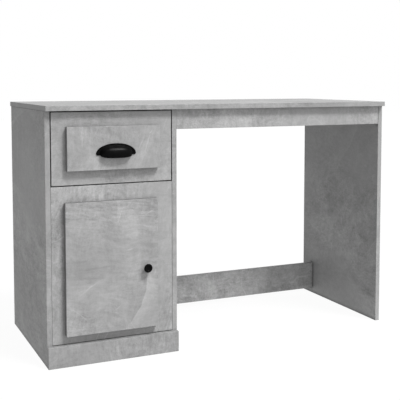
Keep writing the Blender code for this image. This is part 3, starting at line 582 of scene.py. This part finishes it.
def turned(profile, steps=64):
    """The (radius, height) profile turned about +Z. One that starts off the axis closes on itself."""
    bm = bmesh.new()
    rings = []
    for radius, height in profile:
        turns = [0.0] if radius < 1e-7 else [math.tau * i / steps for i in range(steps)]
        rings.append([bm.verts.new((radius * math.cos(a), radius * math.sin(a), height)) for a in turns])
    pairs = list(zip(rings, rings[1:]))
    if profile[0][0] > 1e-7:
        pairs.append((rings[-1], rings[0]))
    for lower, upper in pairs:
        for i in range(steps):
            ring = [lower[j % len(lower)] for j in (i, i + 1)] + [upper[j % len(upper)] for j in (i + 1, i)]
            bm.faces.new(list(dict.fromkeys(ring)))
    bmesh.ops.recalc_face_normals(bm, faces=bm.faces)
    return bm


def block(size, centre=(0, 0, 0), taper=1.0):
    """A box that narrows by taper towards -Z."""
    bm = bmesh.new()
    bmesh.ops.create_cube(bm, size=1.0)
    for vert in bm.verts:
        if vert.co.z < 0:
            vert.co.x *= taper
            vert.co.y *= taper
    bmesh.ops.scale(bm, vec=size, verts=bm.verts)
    bmesh.ops.translate(bm, vec=centre, verts=bm.verts)
    return bm


def slab(outline, depth):
    """A flat outline, filled and made thick from z = 0 up to depth."""
    bm = bmesh.new()
    lower, upper = ([bm.verts.new((x, y, z)) for x, y in outline] for z in (0.0, depth))
    bm.faces.new(lower[::-1])
    bm.faces.new(upper)
    for i in range(len(outline)):
        bm.faces.new((lower[i - 1], lower[i], upper[i], upper[i - 1]))
    bmesh.ops.recalc_face_normals(bm, faces=bm.faces)
    return bm


def blank(name, bm):
    mesh = bpy.data.meshes.new(name)
    bm.to_mesh(mesh)
    bm.free()
    obj = bpy.data.objects.new(name, mesh)
    bpy.context.scene.collection.objects.link(obj)
    return obj


def settle(obj):
    """Applies the object's modifiers to its mesh."""
    graph = bpy.context.evaluated_depsgraph_get()
    mesh = bpy.data.meshes.new_from_object(obj.evaluated_get(graph), depsgraph=graph)
    obj.modifiers.clear()
    old, obj.data = obj.data, mesh
    bpy.data.meshes.remove(old)


def combine(obj, bm, operation, move=Matrix.Identity(4)):
    """Unites the object with a shape, cuts the shape from it, or keeps what they share."""
    other = blank("tool", bm)
    other.data.transform(move)
    modifier = obj.modifiers.new("combine", "BOOLEAN")
    modifier.object = other
    modifier.operation = operation
    modifier.solver = "EXACT"
    settle(obj)
    bpy.data.objects.remove(other, do_unlink=True)


def bevelled(obj, width, segments=3, angle=30):
    modifier = obj.modifiers.new("bevel", "BEVEL")
    modifier.width = width
    modifier.segments = segments
    modifier.limit_method = "ANGLE"
    modifier.angle_limit = math.radians(angle)
    settle(obj)


def fit(obj, node, body, material, angle=32):
    """Gives a piece its shading, material and body, and hides the CAD node that it stands for, if any."""
    for polygon in obj.data.polygons:
        polygon.use_smooth = True
    obj.data.set_sharp_from_angle(angle=math.radians(angle))
    obj.data.materials.clear()
    obj.data.materials.append(material)
    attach(obj, body)
    if node:
        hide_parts(node)
    return obj


def facing(direction, place=(0, 0, 0)):
    """The matrix that turns +Z to a direction and moves the origin to a place."""
    turn = Vector(direction).to_track_quat("Z", "Y").to_matrix().to_4x4()
    return Matrix.Translation(place) @ turn


def middle(node):
    low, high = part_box(node)
    return (low + high) / 2


def pull_dome(radii):
    """An ellipsoid with its poles at its left and right ends, where it is squarer than a true one."""
    bm = bmesh.new()
    to_side = Matrix.Rotation(math.radians(90), 4, "Y")
    bmesh.ops.create_uvsphere(bm, u_segments=130, v_segments=96, radius=1.0, matrix=to_side)
    for vert in bm.verts:
        ring = math.hypot(vert.co.y, vert.co.z)
        widen = ring ** (2 / PULL_POWER - 1) if ring > 0.001 else 1.0
        along = math.copysign(abs(vert.co.x) ** (2 / PULL_POWER), vert.co.x)
        vert.co = (along, vert.co.y * widen, vert.co.z * widen)
    bmesh.ops.scale(bm, vec=radii, verts=bm.verts)
    return bm


def pull_plate(half_width, rise):
    """The rim plate's outline in X and Z: half an ellipse over two rounded ears."""
    outline = [(half_width * x, rise * z) for x, z in arc((0, 0), 1.0, 0, 180, 96)]
    outline += arc((EAR - half_width, 0), EAR, 180, 270, 10)[1:]
    outline += arc((half_width - EAR, 0), EAR, 270, 360, 10)[:-1]
    return slab(outline, PLATE)


def add_cup_pull(material):
    """The cast half-dome pull: rim plate, hollow dome, screw bosses, sloping lip, all with soft fillets."""
    low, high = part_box("cup_pull")
    origin = Vector(((low.x + high.x) / 2, high.y, high.z - PULL_RISE))
    upright = Matrix.Rotation(math.radians(90), 4, "X")
    pull = blank("cup_pull_cast", pull_plate((high.x - low.x) / 2, PULL_RISE))
    pull.data.transform(Matrix.Translation((0, PLATE / 2, 0)) @ upright)
    outer = Vector((0.0480, high.y - low.y, 0.0225))
    wall = Vector((0.0022, 0.0022, 0.0022))
    combine(pull, pull_dome(outer), "UNION")
    combine(pull, pull_dome(outer - wall), "DIFFERENCE")
    for name in ("cup_pull_screw_left", "cup_pull_screw_right"):
        add_boss(pull, middle(name) - origin, outer - wall / 2)
    combine(pull, block((0.3, 0.1, 0.3), (0, 0.05, 0)), "DIFFERENCE")
    slope = Matrix.Translation((0, 0, -0.0052)) @ Matrix.Rotation(math.radians(25), 4, "X")
    combine(pull, block((0.3, 0.2, 0.06), (0, 0, -0.03)), "DIFFERENCE", slope)
    put_in_order(pull)
    soften(pull)
    pull.data.transform(Matrix.Translation(origin))
    fit(pull, "cup_pull", "drawer", material, 60)


def add_boss(pull, centre, dome):
    """Joins on a round boss for a screw, cut to end inside the dome's wall."""
    boss = blank("boss", turned([(0, -0.002), (0.0045, -0.002), (0.0045, 0.03), (0, 0.03)], 48))
    boss.data.transform(facing((0, -1, 0), (centre.x, 0, centre.z)))
    combine(boss, pull_dome(dome), "INTERSECT")
    shape = bmesh.new()
    shape.from_mesh(boss.data)
    combine(pull, shape, "UNION")
    bpy.data.objects.remove(boss, do_unlink=True)


def put_in_order(obj):
    """Sorts the mesh's points and faces, which a Boolean leaves in another order each run."""
    old = obj.data
    order = sorted(range(len(old.vertices)), key=lambda i: old.vertices[i].co[:])
    rank = {before: after for after, before in enumerate(order)}
    rings = [[rank[i] for i in polygon.vertices] for polygon in old.polygons]
    starts = [ring.index(min(ring)) for ring in rings]
    faces = sorted(ring[start:] + ring[:start] for ring, start in zip(rings, starts))
    obj.data = bpy.data.meshes.new(old.name)
    obj.data.from_pydata([old.vertices[i].co for i in order], [], faces)
    bpy.data.meshes.remove(old)


def soften(obj):
    """Rounds all edges as a casting's are: a voxel skin, smoothed, with fewer triangles."""
    skin = obj.modifiers.new("skin", "REMESH")
    skin.mode = "VOXEL"
    skin.voxel_size = VOXEL
    skin.use_smooth_shade = True
    soft = obj.modifiers.new("fillets", "SMOOTH")
    soft.factor = 0.5
    soft.iterations = 12
    fewer = obj.modifiers.new("fewer", "DECIMATE")
    fewer.ratio = 0.45
    settle(obj)


def add_knob(material):
    """The turned knob: dished face with a raised ring, full round edge, waisted neck and a foot."""
    low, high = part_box("door_knob")
    reach, radius, lip = high.y - low.y, (high.x - low.x) / 2, 0.0030
    # The face's radii and how far each lies below its ring, in tenths of a millimetre.
    sunk = ((0, 14), (26, 13.7), (52, 13), (60, 12), (66, 8), (72, 3), (80, 0.6))
    profile = [(r * 1e-4, reach - z * 1e-4) for r, z in sunk]
    profile += arc((radius - lip, reach - lip), lip, 88, -60, 20)
    neck = arc((0, 0), 1.0, 100, 180, 14)
    profile += [(0.0108 + 0.0053 * x, 0.0042 + 0.0046 * z) for x, z in neck]
    profile += [(0.0055, 0.0026), (0.0058, 0.0019), (0.0065, 0.0013)]
    profile += arc((0.0068, 0.0006), 0.0005, 80, -20, 5)
    profile += [(0.0071, 0), (0.0025, 0), (0.0025, 0.009), (0, 0.009)]
    knob = blank("door_knob_turned", turned(profile, 96))
    centre = middle("door_knob")
    knob.data.transform(facing((0, -1, 0), (centre.x, high.y, centre.z)))
    fit(knob, "door_knob", "door", material)


def cross_cut(obj, reach, depth, top, width=0.0011):
    """A tapering cross recess in the face at z = top."""
    for long, short in ((reach, width), (width, reach)):
        combine(obj, block((long, short, 2 * depth), (0, 0, top), 0.45), "DIFFERENCE")


def add_screws(material):
    """Pan-head machine screws with a cross recess and a rolled thread."""
    bodies = {"cup_pull_screw_left": "drawer", "cup_pull_screw_right": "drawer", "door_knob_screw": "door"}
    for node, body in bodies.items():
        low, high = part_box(node)
        shank = high.y - low.y - SCREW_HEAD
        profile = [(0, shank), (0.0014, shank)]
        height = shank - 0.0006
        while height > shank - 0.016:
            profile += [(0.0020, height), (0.0017, height - 0.00035)]
            height -= 0.0007
        profile += [(0.0020, 0.0), (0.0041, 0.0)] + arc((0.0041, -0.0004), 0.0004, 80, 0, 3)
        crown = arc((0, 0), 1.0, 0, 90, 12)[:-1]
        profile += [(0.0045 * x, -0.0010 - (SCREW_HEAD - 0.0010) * z) for x, z in crown] + [(0, -SCREW_HEAD)]
        screw = blank(node + "_turned", turned(profile, 40))
        screw.data.transform(Matrix.Rotation(math.pi, 4, "X"))
        cross_cut(screw, 0.0050, 0.0014, SCREW_HEAD)
        centre = middle(node)
        screw.data.transform(facing((0, 1, 0), (centre.x, high.y - SCREW_HEAD, centre.z)))
        fit(screw, node, body, material)


def add_cams(material):
    """Cam locks: a die-cast drum with a rim groove, a cross recess and a notch that points at its bolt."""
    made = None
    for node in NODES:
        if "_cam_" not in node:
            continue
        low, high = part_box(node)
        size = high - low
        axis = min(range(3), key=lambda i: size[i])
        if made is None:
            made = cam_drum(size[axis])
        cam = bpy.data.objects.new(node + "_cast", made.copy())
        bpy.context.scene.collection.objects.link(cam)
        outward = cam_face(node, axis)
        place = (low + high) / 2
        place[axis] = (high if outward[axis] > 0 else low)[axis]
        cam.data.transform(facing(outward, place))
        fit(cam, node, "carcass", material)


def cam_drum(depth):
    profile = [(0, 0), (0.0057, 0), (0.0059, -0.0003), (0.0062, -0.0003), (0.0064, 0), (0.0068, 0)]
    profile += arc((0.0068, -0.0004), 0.0004, 80, 0, 3) + [(0.0072, -depth), (0, -depth)]
    drum = blank("cam_shape", turned(profile, 48))
    cross_cut(drum, 0.0085, 0.0030, 0.0, 0.0017)
    combine(drum, block((0.0016, 0.0060, 0.0012), (0, -0.0065, 0)), "DIFFERENCE")
    mesh = drum.data
    bpy.data.objects.remove(drum, do_unlink=True)
    return mesh


def cam_face(node, axis):
    """The way a cam's slotted face looks: out of the face of its board that the cam is flush with."""
    outward = Vector((0, 0, 0))
    low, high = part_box(node[: node.index("_cam_")])
    cam_low, cam_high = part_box(node)
    outward[axis] = 1.0 if abs(high[axis] - cam_high[axis]) < abs(low[axis] - cam_low[axis]) else -1.0
    return outward


def add_rollers(material):
    """Nylon rollers: a crowned tread with a fine parting line, and a sunk web round the hub."""
    for node in ("cabinet_roller_left", "cabinet_roller_right", "drawer_roller_left", "drawer_roller_right"):
        low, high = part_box(node)
        half, radius, bore = (high.x - low.x) / 2, (high.z - low.z) / 2, 0.0028
        web = half - 0.0007
        side = [(bore, half - 0.0002), (bore + 0.0002, half), (0.0042, half)]
        side += [(0.0046, web), (0.0064, web), (0.0068, half)]
        side += arc((radius - 0.0008, half - 0.0008), 0.0008, 90, 4, 6)
        tread = [(radius, 0.0002), (radius - 0.0001, 0.0)]
        profile = side + tread + [(r, -z) for r, z in reversed(side + tread[:1])]
        roller = blank(node + "_moulded", turned(profile, 72))
        roller.data.transform(facing((1, 0, 0), middle(node)))
        fit(roller, node, node, material)


def add_hinge_cups(material, screw_material):
    """Pressed cups with a winged flange, screwed to the door's inside."""
    sheet, radius, wall = 0.0012, 0.0172, 0.0014
    for level in ("lower", "upper"):
        node = "hinge_cup_" + level
        low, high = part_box(node)
        lip, depth = (high.x - low.x) / 2, high.y - low.y
        base = sheet - depth
        profile = [(0, base + wall)] + arc((radius - wall - 0.002, base + wall + 0.002), 0.002, -90, 0, 6)
        profile += [(radius - wall, sheet - 0.0006), (radius - wall + 0.0006, sheet), (lip - 0.0004, sheet)]
        profile += [(lip, sheet - 0.0004), (lip, 0), (radius, 0)]
        profile += arc((radius - 0.0015, base + 0.0015), 0.0015, 0, -90, 6) + [(0, base)]
        cup = blank(node + "_pressed", turned(profile, 80))
        centre = middle(node)
        seat = Vector((centre.x, high.y - sheet, centre.z))
        cup.data.transform(facing((0, 1, 0), seat))
        fit(cup, node, "door", material)
        for where, end in (("top", -1), ("bottom", 1)):
            add_wing(f"{node}_wing_{where}", end, seat, lip, sheet, material, screw_material)


def add_wing(name, end, seat, lip, sheet, material, screw_material):
    """One flange of a hinge cup, below the cup for end 1 and above it for -1, with its screw."""
    inner, tip = lip + 0.0003, end * 0.0275
    round_cup = [math.radians(4 * i - 30) for i in range(16)]
    round_tip = [math.radians(10 * i) for i in range(19)]
    outline = [(inner * math.sin(a), end * inner * math.cos(a)) for a in round_cup]
    outline += [(0.0085 * math.cos(a), tip + end * 0.0045 * math.sin(a)) for a in round_tip]
    wing = blank(name, slab(outline, sheet - 0.0002))
    place = Matrix.Translation(seat + Vector((0, 0.0001, 0)))
    wing.data.transform(place @ Matrix.Rotation(math.radians(-90), 4, "X"))
    bevelled(wing, 0.00025, 2)
    fit(wing, None, "door", material)
    screw_place = seat + Vector((0, sheet - 0.0001, -tip))
    add_flat_screw(name + "_screw", screw_place, (0, 1, 0), "door", screw_material)


def add_flat_screw(name, place, outward, body, material):
    """The head of a wood screw, 7 mm across, with a cross recess; it stands 1.2 mm proud."""
    profile = [(0, 0), (0.0033, 0), (0.0035, 0.0002)] + arc((0.0031, 0.0003), 0.0004, 0, 60, 3)
    profile += [(0.0035 * x, 0.0012 * z) for x, z in arc((0, 0), 1.0, 60, 90, 5)[:-1]] + [(0, 0.0012)]
    screw = blank(name, turned(profile, 36))
    cross_cut(screw, 0.0040, 0.0008, 0.0012, 0.0009)
    screw.data.transform(facing(outward, place))
    fit(screw, None, body, material)


def add_hinge_plates(material, screw_material):
    """Cruciform mounting plates on the side panel: a raised spine for the arm and two screwed wings."""
    for level in ("lower", "upper"):
        node = "hinge_plate_" + level
        low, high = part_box(node)
        centre = middle(node)
        thick, half_y, half_z = high.x - low.x, (high.y - low.y) / 2, (high.z - low.z) / 2
        spine, wing, round_in = 0.0078, 0.0105, 0.003
        quarter = [(half_y, 0.0), (half_y, spine - 0.002), (half_y - 0.002, spine), (wing + round_in, spine)]
        quarter += [(wing, spine + round_in), (wing, half_z - 0.004)]
        quarter += arc((wing - 0.004, half_z - 0.004), 0.004, 15, 90, 5)
        right = quarter + [(-y, z) for y, z in reversed(quarter)]
        outline = right + [(-y, -z) for y, z in right[1:-1]]
        plate = blank(node + "_pressed", slab(outline, thick))
        bevelled(plate, 0.0004, 3)
        place = Matrix.Translation((low.x, centre.y, centre.z))
        plate.data.transform(place @ Matrix(((0, 0, 1, 0), (1, 0, 0, 0), (0, 1, 0, 0), (0, 0, 0, 1))))
        fit(plate, node, "carcass", material)
        for where, side in (("top", 1), ("bottom", -1)):
            seat = (high.x - 0.0001, centre.y, centre.z + side * 0.0118)
            add_flat_screw(f"{node}_screw_{where}", seat, (1, 0, 0), "carcass", screw_material)


def add_fine_pieces(made):
    add_cup_pull(made["black_metal"])
    add_knob(made["black_metal"])
    add_screws(made["screw_steel"])
    add_cams(made["zinc_alloy"])
    add_rollers(made["roller_plastic"])
    add_hinge_cups(made["hinge_steel"], made["screw_steel"])
    add_hinge_plates(made["hinge_steel"], made["screw_steel"])


def add_floor():
    bm = bmesh.new()
    bmesh.ops.create_grid(bm, x_segments=4, y_segments=4, size=14.0)
    mesh = bpy.data.meshes.new("floor")
    bm.to_mesh(mesh)
    bm.free()
    floor = bpy.data.objects.new("floor", mesh)
    bpy.context.scene.collection.objects.link(floor)
    floor.location.z = -0.0005
    t = Tree("floor_paint")
    speckle = t.fac(t.coords, 3.0, 3.0)
    t.set(Base_Color=t.grey(t.remap(speckle, 0.3, 0.7, 0.030, 0.034)), Roughness=1.0, Specular_IOR_Level=0.0)
    t.set(Emission_Color=(1.0, 1.0, 1.0, 1.0), Emission_Strength=0.955)
    mesh.materials.append(t.material)


add_camera()
add_light()
add_floor()
paint_boards()
add_fine_pieces(paint_fittings())
bpy.context.scene.view_settings.view_transform = "Standard"
